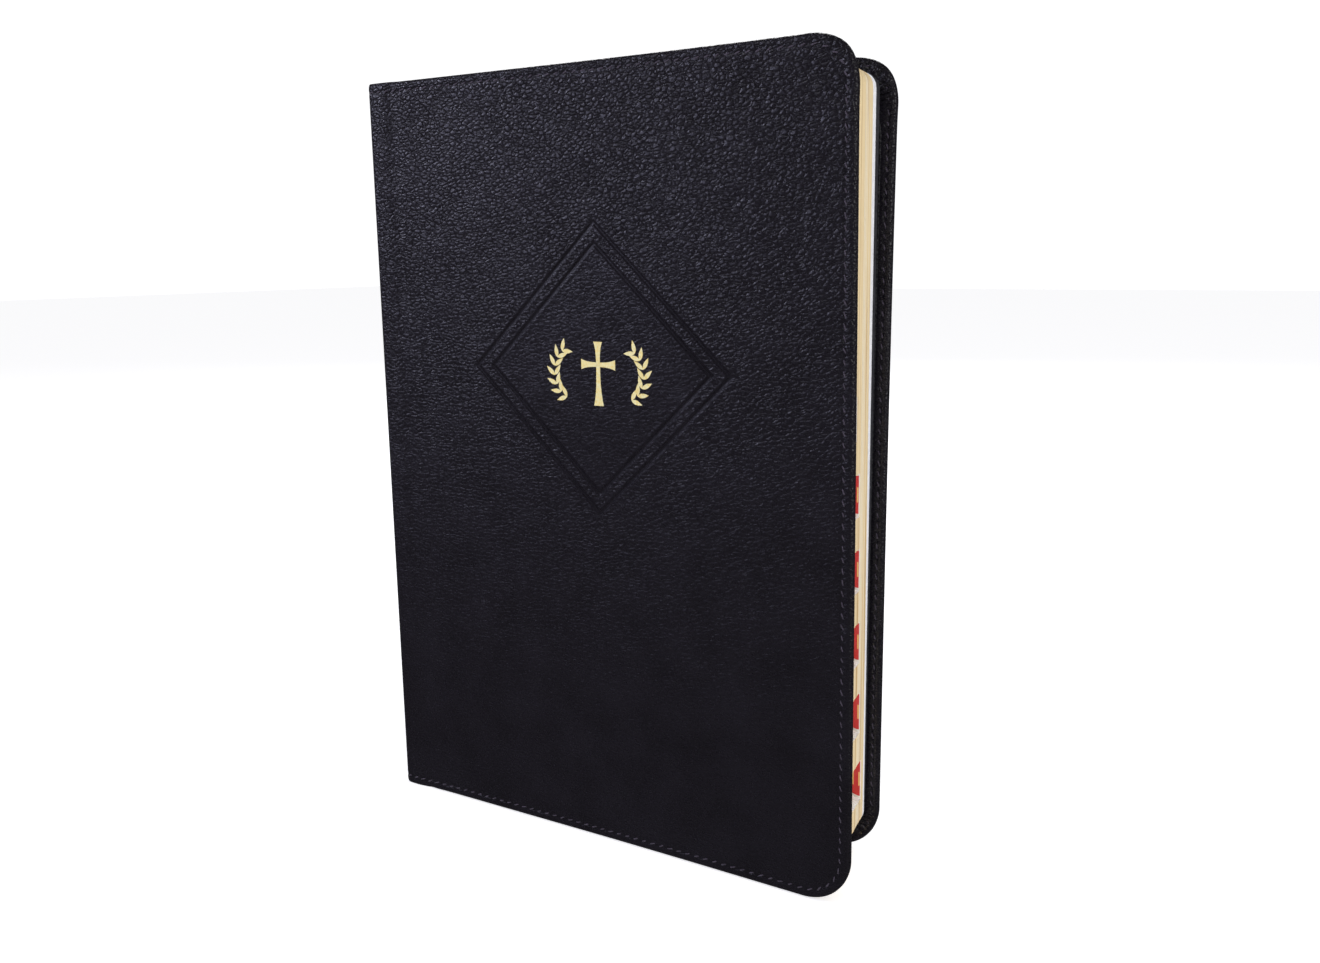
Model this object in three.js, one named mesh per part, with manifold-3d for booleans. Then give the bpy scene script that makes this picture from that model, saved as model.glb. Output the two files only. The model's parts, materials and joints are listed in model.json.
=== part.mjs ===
// A flexible leather-bound bible with a thumb index, standing on its tail edges.
// Millimetres, +Z up: X runs from the spine to the fore edge, Y from the front cover to the
// back cover, Z from tail to head. The origin is the middle of the footprint at the tail.
import * as THREE from 'three';
import { mergeVertices } from 'three/addons/utils/BufferGeometryUtils.js';
import Module from 'manifold-3d';

const wasm = await Module();
wasm.setup();

// ---- Driving dimensions -------------------------------------------------------------------
const COVER_HEIGHT = 260;          // tail to head, outside the leather
const COVER_WIDTH = 183;           // spine shoulder to fore edge
const COVER_CORNER = 15.5;         // radius of the two fore-edge corners
const LEATHER = 1.0;               // skin of the covers
const BOARD = 1.1;                 // flexible card inside each cover
const LINING = 0.5;                // black lining paper
const RIM = 3.3;                   // leather turned in round the edge, to the seam
const GAP = 0.3;                   // between pieces that lie on each other
const PLY_GAP = 0.2;               // between the plies of one cover

const JOINT_X = 9;                 // hinge line of a cover, from the spine shoulder
const HINGE_PROUD = 0.4;           // hinge line outside the cover's outer face
const SPINE_LEATHER = 1.3;
const SPINE_CARD = 0.8;
const SPINE_SHOULDER = 2.4;        // rounding of the spine's two long edges
const SPINE_ROLL = 3.6;            // the limp spine leans this far from front to back
const MULL = 0.4;                  // gauze glued down the folds
const MULL_INSET = 5;              // short of the pages at head and tail
const HEADBAND_RADIUS = 1.3;

const HEAD_SQUARE = 6;             // cover overhang past the pages at the head
const TAIL_SQUARE = 11.5;          // at the tail, where the pages hang clear of the table
const FORE_SQUARE = 4;             // and at the fore edge
const PAGE_CORNER = 5;
const END_LEAF = 0.4;
const SECTION_PITCHES = [1.7, 3.2, 3.4, 3.6, 3.4, 1.0, 1.0, 1.1, 1.9, 2.2];
const FRONT_SECTIONS = 5;          // sections that turn with the front cover

const NOTCH_DEPTH = 6.2;           // thumb notch, in from the fore edge
const NOTCH_HALF = 6.9;            // half its height
const NOTCH_TAIL = 18;             // middle of the lowest notch, from the pages' tail
const NOTCH_HEAD = 30.9;           // middle of the highest notch, from the pages' head
const LABEL_MARGIN = 0.9;          // label edge to notch wall
const LABEL = 0.25;

const SEAM_INSET = 3.1;            // stitching, in from the cover's edge
const THREAD_WIDTH = 0.8;
const THREAD = 0.3;
const CROSS_HEIGHT = 20;
const CROSS_WIDTH = 13;
const CROSS_BAR = 2.4;
const FOIL = 0.2;
const ORNAMENT_X = 95;             // middle of the ornament, from the spine shoulder
const ORNAMENT_Z = 163;            // and above the tail

const BACK_FLARE = 1.85;           // degrees that the limp back cover stands open at rest
const SWING = 178;                 // degrees from closed to folded right back
// Share of its cover's turn that each leaf and section takes, from the cover inwards.
const LEAF_SHARES = [0.62, 0.54];
const SECTION_SHARES = [0.35, 0.27, 0.2, 0.13, 0.07];
const LEAF_SETBACK = 3.6;          // first end leaf's hinge, in from the cover's hinge
const STAGGER_MARGIN = 0.15;
const ARC_STEPS = 6;

const COVER = LEATHER + PLY_GAP + BOARD + PLY_GAP + LINING + PLY_GAP;
const LEAVES = 2 * (END_LEAF + GAP) + GAP;
const BLOCK = SECTION_PITCHES.reduce((sum, pitch) => sum + pitch, 0);
const SPINE = 2 * (COVER + LEAVES) + BLOCK - GAP;
const PAGE_HEIGHT = COVER_HEIGHT - HEAD_SQUARE - TAIL_SQUARE;
const NOTCH_COUNT = SECTION_PITCHES.length - 1;

const COLOURS = {
  leather: [0x17161b, 0.5],
  card: [0x6b6358, 0.9],
  lining: [0x18171a, 0.75],
  thread: [0x4c4550, 0.7],
  foil: [0xe0be5a, 0.3],
  blackLeaf: [0x2a292d, 0.8],
  whiteLeaf: [0xeeecee, 0.85],
  pages: [0xe6c795, 0.8],
  label: [0xc9302b, 0.6],
  gauze: [0xcfc8b8, 0.95],
};

function finish(name) {
  const [color, roughness] = COLOURS[name];
  return new THREE.MeshStandardMaterial({ color, roughness, metalness: name === 'foil' ? 1 : 0 });
}

// ---- Solids -------------------------------------------------------------------------------
function toManifold(geometry) {
  const bare = geometry.clone();
  bare.deleteAttribute('normal');
  bare.deleteAttribute('uv');
  const merged = mergeVertices(bare, 1e-3);
  const mesh = new wasm.Mesh({
    numProp: 3,
    vertProperties: new Float32Array(merged.attributes.position.array),
    triVerts: new Uint32Array(merged.index.array),
  });
  return new wasm.Manifold(mesh);
}

function cut(geometry, ...tools) {
  let solid = toManifold(geometry);
  for (const tool of tools) solid = solid.subtract(toManifold(tool));
  const mesh = solid.getMesh();
  const result = new THREE.BufferGeometry();
  result.setAttribute('position', new THREE.BufferAttribute(new Float32Array(mesh.vertProperties), 3));
  result.setIndex(new THREE.BufferAttribute(new Uint32Array(mesh.triVerts), 1));
  return result;
}

// A plate: an outline in X and Z, filled from low to low + thickness in Y.
function plate(outline, low, thickness) {
  const options = { depth: thickness, bevelEnabled: false, curveSegments: ARC_STEPS };
  const geometry = new THREE.ExtrudeGeometry(outline, options);
  return geometry.rotateX(Math.PI / 2).translate(0, low + thickness, 0);
}

// A prism: a plan outline in X and Y, filled from bottom to top in Z.
function prism(points, bottom, top) {
  const options = { depth: top - bottom, bevelEnabled: false };
  return new THREE.ExtrudeGeometry(new THREE.Shape(points), options).translate(0, 0, bottom);
}

// The limp spine leans, so everything shifts back along X with its depth in the book.
function leaned(x, y) {
  return new THREE.Vector2(x - SPINE_ROLL * y / SPINE, y);
}

const book = new THREE.Group();

function addPiece(parent, name, geometry, colour) {
  const mesh = new THREE.Mesh(geometry, finish(colour));
  mesh.name = name;
  parent.add(mesh);
}

// A body that hinges on a vertical line; turn is its rest angle in degrees.
function hinged(x, y, turn) {
  const group = new THREE.Group();
  const spot = leaned(x, y);
  group.position.set(spot.x, spot.y, 0);
  group.rotation.z = THREE.MathUtils.degToRad(turn);
  book.add(group);
  return group;
}

// ---- Covers -------------------------------------------------------------------------------
// A cover's outline, inset from its edge on three sides, square at the spine end.
function coverOutline(start, inset) {
  const right = COVER_WIDTH - JOINT_X - inset;
  const top = COVER_HEIGHT - inset;
  const radius = COVER_CORNER - inset;
  const outline = new THREE.Shape();
  outline.moveTo(start, inset);
  outline.lineTo(right - radius, inset);
  outline.absarc(right - radius, inset + radius, radius, -Math.PI / 2, 0, false);
  outline.absarc(right - radius, top - radius, radius, 0, Math.PI / 2, false);
  outline.lineTo(start, top);
  return outline;
}

// The seam follows the cover's edge: the strip between two insets, open at the spine end.
function seamOutline(start, inset, width) {
  const outer = coverOutline(start, inset).getPoints(ARC_STEPS);
  const inner = coverOutline(start, inset + width).getPoints(ARC_STEPS);
  return new THREE.Shape([...outer, ...inner.reverse()]);
}

function crossOutline(x, z, grow) {
  const half = CROSS_BAR / 2 + grow;
  const arm = CROSS_WIDTH / 2 + grow;
  const top = CROSS_HEIGHT / 2 + grow;
  const beam = CROSS_HEIGHT / 5;
  const right = [
    [half, -top], [half, beam - half], [arm, beam - half],
    [arm, beam + half], [half, beam + half], [half, top],
  ];
  const left = right.map(([a, b]) => [-a, b]).reverse();
  return new THREE.Shape([...right, ...left].map(([a, b]) => new THREE.Vector2(x + a, z + b)));
}

// One cover: leather skin turned in round the edge, card, lining and stitching.
function addCover(name, side, turn) {
  const front = side < 0;
  const cover = hinged(JOINT_X, front ? -HINGE_PROUD : SPINE + HINGE_PROUD, turn);
  // A ply lies between two depths, both measured in from the outer face.
  const ply = (outline, depth, thickness) => {
    const low = front ? HINGE_PROUD + depth : -HINGE_PROUD - depth - thickness;
    return plate(outline, low, thickness);
  };
  const seam = SEAM_INSET - THREAD_WIDTH / 2;
  const groove = seamOutline(-GAP, seam - GAP, THREAD_WIDTH + 2 * GAP);
  const cuts = [
    ply(coverOutline(-GAP, RIM), LEATHER, COVER),
    ply(groove, -1, 1 + THREAD + GAP),
  ];
  const crossX = ORNAMENT_X - JOINT_X;
  if (front) cuts.push(ply(crossOutline(crossX, ORNAMENT_Z, GAP), -1, 1 + FOIL + GAP));
  addPiece(cover, `${name}_leather`, cut(ply(coverOutline(GAP, 0), 0, COVER), ...cuts), 'leather');
  const inside = coverOutline(2 * GAP, RIM + GAP);
  const boardDepth = LEATHER + PLY_GAP;
  addPiece(cover, `${name}_board`, ply(inside, boardDepth, BOARD), 'card');
  addPiece(cover, `${name}_lining`, ply(inside, boardDepth + BOARD + PLY_GAP, LINING), 'lining');
  addPiece(cover, `${name}_stitching`, ply(seamOutline(2 * GAP, seam, THREAD_WIDTH), 0, THREAD), 'thread');
  if (front) {
    addPiece(cover, 'gold_cross', ply(crossOutline(crossX, ORNAMENT_Z, 0), 0, FOIL), 'foil');
  }
}

// ---- Spine --------------------------------------------------------------------------------
// The spine's wall seen from above, offset inwards: front flange, shoulder, back, shoulder, flange.
function spineLine(offset) {
  const end = JOINT_X - GAP;
  const radius = SPINE_SHOULDER - offset;
  const points = [[end, offset]];
  for (let step = 0; step <= ARC_STEPS; step++) {
    const angle = Math.PI / 2 * step / ARC_STEPS;
    points.push([SPINE_SHOULDER - radius * Math.sin(angle), SPINE_SHOULDER - radius * Math.cos(angle)]);
  }
  const mirrored = points.map(([x, y]) => [x, SPINE - y]).reverse();
  return [...points, ...mirrored].map(([x, y]) => leaned(x, y));
}

function spineWall(from, to, bottom, top) {
  return prism([...spineLine(from), ...spineLine(to).reverse()], bottom, top);
}

function slabPlan(left, right, front, back) {
  return [leaned(left, front), leaned(right, front), leaned(right, back), leaned(left, back)];
}

function addSpine(plies) {
  const seams = [SEAM_INSET, COVER_HEIGHT - SEAM_INSET];
  const reach = THREAD_WIDTH / 2 + GAP;
  const grooves = seams.map((z) => spineWall(-1, THREAD + GAP, z - reach, z + reach));
  const wall = spineWall(0, SPINE_LEATHER, 0, COVER_HEIGHT);
  addPiece(book, 'spine_leather', cut(wall, ...grooves), 'leather');
  ['spine_stitching_tail', 'spine_stitching_head'].forEach((name, index) => {
    const low = seams[index] - THREAD_WIDTH / 2;
    addPiece(book, name, spineWall(0, THREAD, low, low + THREAD_WIDTH), 'thread');
  });
  const cardX = SPINE_LEATHER + GAP;
  const mullX = cardX + SPINE_CARD + GAP;
  const foldX = mullX + MULL + GAP;
  const blockFront = COVER + LEAVES;
  const blockBack = blockFront + BLOCK - GAP;
  const card = slabPlan(cardX, cardX + SPINE_CARD, COVER, SPINE - COVER);
  addPiece(book, 'spine_card', prism(card, RIM, COVER_HEIGHT - RIM), 'card');
  const mull = slabPlan(mullX, mullX + MULL, blockFront, blockBack);
  const mullTop = TAIL_SQUARE + PAGE_HEIGHT - MULL_INSET;
  addPiece(book, 'spine_mull', prism(mull, TAIL_SQUARE + MULL_INSET, mullTop), 'gauze');
  addFolds(foldX, plies);
  for (const [name, z] of [['tail_band', TAIL_SQUARE - GAP - HEADBAND_RADIUS],
    ['head_band', TAIL_SQUARE + PAGE_HEIGHT + GAP + HEADBAND_RADIUS]]) {
    const bead = new THREE.CylinderGeometry(HEADBAND_RADIUS, HEADBAND_RADIUS, blockBack - blockFront, 12);
    const lean = Math.atan2(SPINE_ROLL, SPINE);
    const middle = leaned(foldX + HEADBAND_RADIUS + GAP, SPINE / 2);
    addPiece(book, name, bead.rotateZ(lean).translate(middle.x, middle.y, z), 'gauze');
  }
}

// The glued and sewn folds of the pages: a step for each section, clear of its swing.
function addFolds(foldX, plies) {
  const sections = plies.filter((ply) => ply.section);
  const stepped = [];
  sections.forEach((ply, index) => {
    const reach = ply.x - ply.thickness / 2 - GAP;
    const last = index === sections.length - 1;
    const low = ply.y - ply.thickness / 2 - (index === 0 ? 0 : GAP / 2);
    const high = ply.y + ply.thickness / 2 + (last ? 0 : GAP / 2);
    stepped.push(leaned(reach, low), leaned(reach, high));
  });
  const first = sections[0];
  const final = sections[sections.length - 1];
  const outline = [
    leaned(foldX, first.y - first.thickness / 2), ...stepped,
    leaned(foldX, final.y + final.thickness / 2),
  ];
  addPiece(book, 'page_folds', prism(outline, TAIL_SQUARE, TAIL_SQUARE + PAGE_HEIGHT), 'pages');
}

// ---- Leaves and sections ------------------------------------------------------------------
// Half of the book's plies from its cover inwards: thickness, depth and hinge line of each.
// A ply behind another hinges further in, so that both can turn without meeting.
function layPlies(pitches, shares) {
  const plies = [];
  let depth = COVER + GAP;
  let x = JOINT_X + LEAF_SETBACK;
  pitches.forEach((pitch, index) => {
    const thickness = pitch - GAP;
    const middle = depth + thickness / 2;
    if (index > 0) {
      const spacing = middle - plies[index - 1].depth;
      const half = THREE.MathUtils.degToRad(shares[index] * SWING / 2);
      x += spacing * Math.tan(half) + STAGGER_MARGIN;
    }
    plies.push({ thickness, depth: middle, x, share: shares[index], section: index >= LEAF_SHARES.length });
    depth += pitch;
  });
  return plies;
}

function allPlies() {
  const leaves = LEAF_SHARES.map(() => END_LEAF + GAP);
  const frontPitches = SECTION_PITCHES.slice(0, FRONT_SECTIONS);
  const backPitches = SECTION_PITCHES.slice(FRONT_SECTIONS).reverse();
  const front = layPlies([...leaves, ...frontPitches], [...LEAF_SHARES, ...SECTION_SHARES]);
  const back = layPlies([...leaves, ...backPitches], [...LEAF_SHARES, ...SECTION_SHARES]);
  for (const ply of front) Object.assign(ply, { y: ply.depth, turn: 0 });
  for (const ply of back) Object.assign(ply, { y: SPINE - ply.depth, turn: ply.share * BACK_FLARE });
  return [...front, ...back.reverse()];
}

// A page outline with a half-moon notch for each thumb label from the given one on.
function pageOutline(width, firstNotch) {
  const bottom = TAIL_SQUARE;
  const top = bottom + PAGE_HEIGHT;
  const outline = new THREE.Shape();
  outline.moveTo(0, bottom);
  outline.lineTo(width - PAGE_CORNER, bottom);
  outline.absarc(width - PAGE_CORNER, bottom + PAGE_CORNER, PAGE_CORNER, -Math.PI / 2, 0, false);
  for (let notch = NOTCH_COUNT - 1; notch >= firstNotch; notch--) {
    const z = notchHeight(notch);
    outline.lineTo(width, z - NOTCH_HALF);
    outline.absellipse(width, z, NOTCH_DEPTH, NOTCH_HALF, -Math.PI / 2, Math.PI / 2, true);
  }
  outline.absarc(width - PAGE_CORNER, top - PAGE_CORNER, PAGE_CORNER, 0, Math.PI / 2, false);
  outline.lineTo(0, top);
  return outline;
}

// Notches run down the fore edge, the first at the head.
function notchHeight(notch) {
  const pitch = (PAGE_HEIGHT - NOTCH_TAIL - NOTCH_HEAD) / (NOTCH_COUNT - 1);
  return TAIL_SQUARE + NOTCH_TAIL + (NOTCH_COUNT - 1 - notch) * pitch;
}

function labelOutline(width, notch) {
  const edge = width - GAP;
  const z = notchHeight(notch);
  const outline = new THREE.Shape();
  outline.moveTo(edge, z - NOTCH_HALF + LABEL_MARGIN);
  outline.absellipse(edge, z, NOTCH_DEPTH - LABEL_MARGIN, NOTCH_HALF - LABEL_MARGIN,
    -Math.PI / 2, Math.PI / 2, true);
  return outline;
}

function addPlies(plies) {
  const leafNames = ['front_black_leaf', 'front_white_leaf', 'back_white_leaf', 'back_black_leaf'];
  let leaf = 0;
  let section = 0;
  for (const ply of plies) {
    const group = hinged(ply.x, ply.y, ply.turn);
    const width = COVER_WIDTH - FORE_SQUARE - ply.x;
    const low = -ply.thickness / 2;
    if (!ply.section) {
      const name = leafNames[leaf++];
      const sheet = plate(pageOutline(width, NOTCH_COUNT), low, ply.thickness);
      addPiece(group, name, sheet, name.includes('black') ? 'blackLeaf' : 'whiteLeaf');
      continue;
    }
    const number = String(section + 1).padStart(2, '0');
    addPiece(group, `section_${number}`, plate(pageOutline(width, section), low, ply.thickness), 'pages');
    if (section > 0) {
      const tag = String(section).padStart(2, '0');
      const label = plate(labelOutline(width, section - 1), low - PLY_GAP - LABEL, LABEL);
      addPiece(group, `index_label_${tag}`, label, 'label');
    }
    section++;
  }
}

const plies = allPlies();
addSpine(plies);
addCover('front_cover', -1, 0);
addCover('back_cover', 1, BACK_FLARE);
addPlies(plies);

// Centre the standing book on its origin.
const box = new THREE.Box3().setFromObject(book, true);
const middle = box.getCenter(new THREE.Vector3());
book.position.set(-middle.x, -middle.y, -box.min.z);

export default book;
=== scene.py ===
import json
import math

import bmesh
import bpy
import numpy as np
from mathutils import Matrix, Vector


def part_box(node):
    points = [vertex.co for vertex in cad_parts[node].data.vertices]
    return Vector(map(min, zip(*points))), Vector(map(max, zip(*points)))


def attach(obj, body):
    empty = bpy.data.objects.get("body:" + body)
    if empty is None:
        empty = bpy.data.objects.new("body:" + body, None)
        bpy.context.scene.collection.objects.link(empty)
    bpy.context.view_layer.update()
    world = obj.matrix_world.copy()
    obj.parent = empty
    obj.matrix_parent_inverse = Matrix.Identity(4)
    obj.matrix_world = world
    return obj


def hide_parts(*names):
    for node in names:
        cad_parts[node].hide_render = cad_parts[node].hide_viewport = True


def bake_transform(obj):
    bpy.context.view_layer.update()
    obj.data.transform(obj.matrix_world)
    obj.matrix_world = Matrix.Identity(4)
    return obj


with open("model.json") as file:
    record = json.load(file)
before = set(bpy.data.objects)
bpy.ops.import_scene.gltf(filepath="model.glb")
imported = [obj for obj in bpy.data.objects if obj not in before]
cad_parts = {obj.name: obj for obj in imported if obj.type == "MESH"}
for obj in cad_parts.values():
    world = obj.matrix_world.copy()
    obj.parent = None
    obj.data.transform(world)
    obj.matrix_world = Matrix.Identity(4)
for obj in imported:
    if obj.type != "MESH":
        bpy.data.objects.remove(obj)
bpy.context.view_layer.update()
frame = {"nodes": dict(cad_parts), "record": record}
MM = 0.001

# ---- Studio ------------------------------------------------------------------------------
# The book stands on a pale table under a broad soft light from above, with small panels at the
# front and left and wide ones at the right and back, seen from its fore-edge side.

CAMERA_PLACE = (0.2058, -0.3159, 0.1997)
CAMERA_AZIMUTH, CAMERA_ELEVATION, CAMERA_ROLL = (math.radians(a) for a in (28.88, 9.50, -0.59))
LENS_MM = 30.24


def camera_axes():
    """Right, up and back of the camera: turned by azimuth, tipped by elevation, then rolled."""
    a, e, r = CAMERA_AZIMUTH, CAMERA_ELEVATION, CAMERA_ROLL
    back = Vector((math.sin(a) * math.cos(e), -math.cos(a) * math.cos(e), math.sin(e)))
    level = Vector((math.cos(a), math.sin(a), 0))
    plumb = back.cross(level)
    right = level * math.cos(r) + plumb * math.sin(r)
    up = plumb * math.cos(r) - level * math.sin(r)
    return right, up, back


camera = bpy.data.objects.new("camera", bpy.data.cameras.new("camera"))
bpy.context.collection.objects.link(camera)
right, up, back = camera_axes()
camera.matrix_world = Matrix.Translation(CAMERA_PLACE) @ Matrix((right, up, back)).transposed().to_4x4()
camera.data.sensor_width = 36
camera.data.lens = LENS_MM
camera.data.shift_x = -0.0303
camera.data.shift_y = -0.0303
bpy.context.scene.camera = camera


def linear(hex_colour):
    """A colour written in sRGB hex, as the linear red, green, blue and alpha that shaders take."""
    parts = [int(hex_colour[i:i + 2], 16) / 255 for i in (1, 3, 5)]
    return [c / 12.92 if c <= 0.04045 else ((c + 0.055) / 1.055) ** 2.4 for c in parts] + [1.0]


def set_inputs(material, node, inputs):
    """Sets a node's inputs, by name or number, to values or to the nodes or sockets that feed them."""
    for key, value in inputs.items():
        source = value.outputs[0] if isinstance(value, bpy.types.Node) else value
        if isinstance(source, bpy.types.NodeSocket):
            material.node_tree.links.new(source, node.inputs[key])
        else:
            node.inputs[key].default_value = source


def add_node(material, kind, inputs, stops=(), **settings):
    """A node of a kind with its settings and inputs. A colour ramp also has stops, each of them a
    place and a colour in sRGB hex or a grey level."""
    made = material.node_tree.nodes.new(kind)
    for key, value in settings.items():
        setattr(made, key, value)
    set_inputs(material, made, inputs)
    for number, (place, colour) in enumerate(stops):
        elements = made.color_ramp.elements
        element = elements[number] if number < 2 else elements.new(1.0)
        element.position = place
        element.color = linear(colour) if isinstance(colour, str) else (colour, colour, colour, 1)
    return made


def new_material(name, colour, roughness, **sockets):
    """A material and its shader, with the constants set on the shader's own sockets."""
    material = bpy.data.materials.new(name)
    material.use_nodes = True
    shader = material.node_tree.nodes["Principled BSDF"]
    constants = {key.replace("_", " "): value for key, value in sockets.items()}
    set_inputs(material, shader, {"Base Color": linear(colour), "Roughness": roughness, **constants})
    return material, shader


def soft_light(name, place, target, size, watts, colour):
    """A square panel light at a place, facing a target."""
    data = bpy.data.lights.new(name, "AREA")
    data.shape, data.size, data.energy = "SQUARE", size, watts
    data.color = linear(colour)[:3]
    lamp = bpy.data.objects.new(name, data)
    bpy.context.collection.objects.link(lamp)
    lamp.location = place
    lamp.rotation_euler = (Vector(target) - Vector(place)).to_track_quat("-Z", "Y").to_euler()


soft_light("top_panel", (-0.65, -0.9, 1.3), (0, 0, 0.18), 0.4, 1.6, "#f0f0ff")
soft_light("front_panel", (-0.75, -0.85, 0.5), (0, 0, 0.2), 0.4, 1.5, "#dcdcff")
soft_light("left_panel", (-1.1, -0.55, 0.75), (-0.08, 0, 0.22), 0.3, 2.6, "#e2e2ff")
soft_light("right_panel", (1.15, -0.35, 0.55), (0.05, 0, 0.13), 0.8, 3.9, "#ffffff")
soft_light("back_panel", (-0.5, 1.1, 0.9), (0, 0, 0.1), 0.8, 8, "#ffffff")
sky = bpy.data.objects.new("overhead_sun", bpy.data.lights.new("overhead_sun", "SUN"))
sky.data.energy, sky.data.angle = 1.2, 1.0
sky.rotation_euler = Vector((0.25, -0.35, 1)).to_track_quat("Z", "Y").to_euler()
bpy.context.collection.objects.link(sky)
sky.visible_glossy = False

table_material, table_shader = new_material("white_table", "#e4e4e4", 0.7, Emission_Strength=0.7)
table_shader.inputs["Emission Color"].default_value = linear("#fdfdff")
bpy.ops.mesh.primitive_plane_add(size=12, location=(0, 0, -0.0002))
table = bpy.context.object
table.name = "table"
table.data.materials.append(table_material)
table.visible_glossy = False
world = bpy.data.worlds.new("studio")
bpy.context.scene.world = world
world.use_nodes = True
backdrop = world.node_tree.nodes["Background"]
backdrop.inputs["Color"].default_value = linear("#fbfbfd")
seen = add_node(world, "ShaderNodeLightPath", {}).outputs["Is Camera Ray"]
strength = add_node(world, "ShaderNodeMapRange", {"To Min": 0.035, "To Max": 1.12, "Value": seen})
set_inputs(world, backdrop, {"Strength": strength})
bpy.context.scene.view_settings.view_transform = "Standard"

# ---- Leather of the case -----------------------------------------------------------------
# Black bonded leather, about 1 mm thick, pebble-grained by a heated roller and then stamped.
# One skin runs over each cover, round the spine and is turned in round the edge; 260 x 183 mm.

joints = {joint["name"]: joint for joint in frame["record"]["behaviour"]["joints"]}
case_low, case_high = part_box("spine_leather")
front_low, front_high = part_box("front_cover_leather")
HEIGHT = case_high.z - case_low.z
FRONT_HINGE = joints["front_cover_hinge"]["pos_m"]
BACK_HINGE = joints["back_cover_hinge"]["pos_m"]
COVER_THICKNESS = front_high.y - front_low.y
HINGE_PROUD = front_low.y - FRONT_HINGE[1]
COVER_LENGTH = front_high.x - FRONT_HINGE[0]
LEAN = (BACK_HINGE[0] - FRONT_HINGE[0]) / (BACK_HINGE[1] - FRONT_HINGE[1])
SPINE_HALF = (BACK_HINGE[1] - FRONT_HINGE[1]) / 2 - HINGE_PROUD
FLANGE = 6.6 * MM
SHOULDER = 2.4 * MM
CORNER = 15.5 * MM
ARC_STEPS = 61
HEAD_FULLNESS = 1.4 * MM
FULLNESS_REACH = 10 * MM
MIDDLE_U = -(FLANGE + SHOULDER * math.pi / 2 + SPINE_HALF - SHOULDER)


def rest_angle(joint):
    """How far a body stands open at rest: the closed stop lies that far below zero."""
    return math.radians(-joint["range_deg"][0])


def smooth(t):
    """Zero below 0, one above 1, and a smooth S between."""
    t = np.clip(t, 0, 1)
    return t * t * (3 - 2 * t)


def fore_curl(u):
    """Share of a sheet's curl at a distance from the hinge: none to 60 mm, then an S-curve."""
    return smooth((u - 60 * MM) / (130 * MM)) ** 1.4


def limp(side, u, z):
    """How far a limp cover bends outwards, from its flat shape: it rolls out 0.5 mm by the joint
    and curls away towards the fore edge. The front one curls from 1.3 mm at the tail to 3.2 mm at
    the head by a square, the back one from nothing to 7.4 mm by a line plus a cube."""
    fore = fore_curl(u)
    head = np.clip(z / HEIGHT, 0, 1)
    joint_roll = 0.5 * MM * np.exp(-((u + 2 * MM) / (9 * MM)) ** 2)
    if side > 0:
        return joint_roll + fore * (1.3 + 1.9 * head ** 2) * MM
    return joint_roll + fore * (4.0 * head + 3.4 * head ** 3) * MM


def case_point(side, u, depth, z):
    """A point of the case: u runs from the hinge line, towards the fore edge along the cover, and
    the other way along the flange, round the shoulder's quarter circle and across the leaning
    spine; depth goes in from the outer face. The fore corner at the head is pulled out along its
    diagonal by a bell curve, squarer than the tail one. Returns x, y and z in the row frame."""
    hinge = FRONT_HINGE if side > 0 else BACK_HINGE
    u, depth, z = np.broadcast_arrays(u, depth, z)
    bend = limp(side, u, z)
    full = HEAD_FULLNESS * np.exp(-((u - COVER_LENGTH) ** 2 + (z - HEIGHT) ** 2) / FULLNESS_REACH ** 2)
    u, z = u + full, z + full
    turn = rest_angle(joints["front_cover_hinge" if side > 0 else "back_cover_hinge"])
    turned = turn * smooth(u / (9 * MM) + 0.5)
    inward = HINGE_PROUD + depth - bend
    x_cover = u * np.cos(turned) - side * inward * np.sin(turned)
    y_cover = u * np.sin(turned) + side * inward * np.cos(turned)
    around = np.clip((-u - FLANGE) / SHOULDER, 0, math.pi / 2)
    along = np.clip(-u - FLANGE - SHOULDER * math.pi / 2, 0, None)
    radius = SHOULDER - depth
    belly = 1.1 * MM * smooth(along / (10 * MM))
    x_spine = -FLANGE - radius * np.sin(around) - belly
    y_spine = HINGE_PROUD + SHOULDER - radius * np.cos(around) + along - bend * np.cos(around)
    on_spine = u < -FLANGE
    x = np.where(on_spine, x_spine, x_cover)
    y = np.where(on_spine, side * y_spine, y_cover)
    x = x + np.where(u < 0, LEAN * (y - side * HINGE_PROUD), 0)
    return x + hinge[0], y + hinge[1], z


def thickness(u):
    """The case is thin over the joint and spine, where it holds no board."""
    return COVER_THICKNESS * (0.5 + 0.5 * smooth((u - 1 * MM) / (5 * MM)))


def ring(inset, columns, rows, corner=CORNER):
    """The edge of a cover, inset: along the head, round the fore corner's arc, down the fore
    edge, round the tail corner and back along the tail. Returns u and z arrays."""
    radius = max(corner - inset, 0)
    centre_u = COVER_LENGTH - inset - radius
    centre_z = inset + radius
    angle = np.linspace(0, math.pi / 2, ARC_STEPS)[1:]
    head_u = np.minimum(columns, centre_u)
    head_z = np.full(len(columns), HEIGHT - inset)
    arc_u = centre_u + radius * np.sin(angle)
    arc_z = HEIGHT - centre_z + radius * np.cos(angle)
    fore_z = np.clip(rows[::-1], centre_z, HEIGHT - centre_z)[1:-1]
    fore_u = np.full(len(fore_z), COVER_LENGTH - inset)
    u = np.concatenate([head_u, arc_u, fore_u, arc_u[::-1], head_u[::-1]])
    z = np.concatenate([head_z, arc_z, fore_z, HEIGHT - arc_z[::-1], HEIGHT - head_z])
    return u, z


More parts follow.
